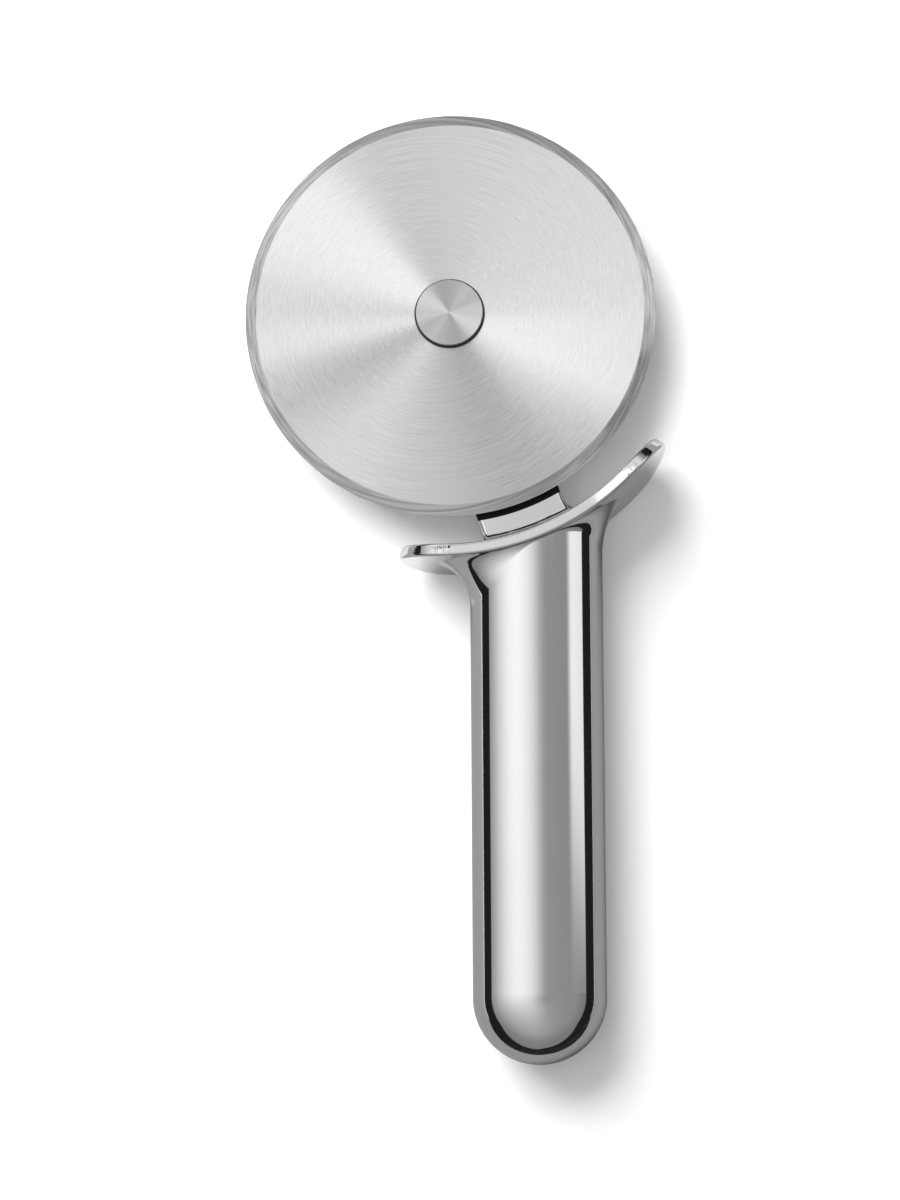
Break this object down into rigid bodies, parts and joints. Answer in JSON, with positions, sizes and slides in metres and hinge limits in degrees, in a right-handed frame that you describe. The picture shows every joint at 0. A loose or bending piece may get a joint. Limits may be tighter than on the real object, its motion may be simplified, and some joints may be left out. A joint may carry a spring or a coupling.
{
  "type": "pizza cutter wheel",
  "caption": "Hand-held cutting wheel that spins freely on a one-sided arm, with a curved thumb guard and an oval polished steel handle with a rounded butt.",
  "frame": {"origin": "middle of the overall box at its lowest level, where the cutter lies on its back", "axes": "+Y along the handle from the butt to the wheel, +X to the right seen from the front, +Z out of the front along the axle of the wheel"},
  "size_m": [0.1035, 0.2368, 0.0256],
  "materials": {
    "wheel_steel": "spun brushed face with a ground bevel at the rim",
    "cap_steel": "spun brushed disc",
    "polished_steel": "mirror polished stainless steel",
    "plain_steel": "bright turned steel",
    "black_plastic": "matt black bearing plastic",
    "bearing_plastic": "natural bearing plastic",
    "plug_aluminium": "as cast",
    "soft_rubber": "matt"
  },
  "bodies": {
    "handle": {"front_thrust_washer": "black_plastic", "rear_thrust_washer": "black_plastic", "axle_cap": "cap_steel", "axle_post": "plain_steel", "axle_screw": "plain_steel", "lock_washer": "plain_steel", "wheel_arm": "polished_steel", "upper_tang_pin": "plain_steel", "lower_tang_pin": "plain_steel", "thumb_guard": "polished_steel", "front_handle_shell": "polished_steel", "back_handle_shell": "polished_steel", "anchor_plug": "plug_aluminium", "weight_stud": "plain_steel", "balance_weight": "plain_steel", "weight_nut": "plain_steel", "upper_weight_ring": "soft_rubber", "lower_weight_ring": "soft_rubber"},
    "wheel": {"cutting_wheel": "wheel_steel", "wheel_bushing": "bearing_plastic"}
  },
  "joints": [
    {"name": "wheel_spin", "type": "hinge", "parent": "handle", "child": "wheel", "pos_m": [-0.00096, 0.0676, 0.0128], "axis": [0, 0, 1], "continuous": true}
  ]
}
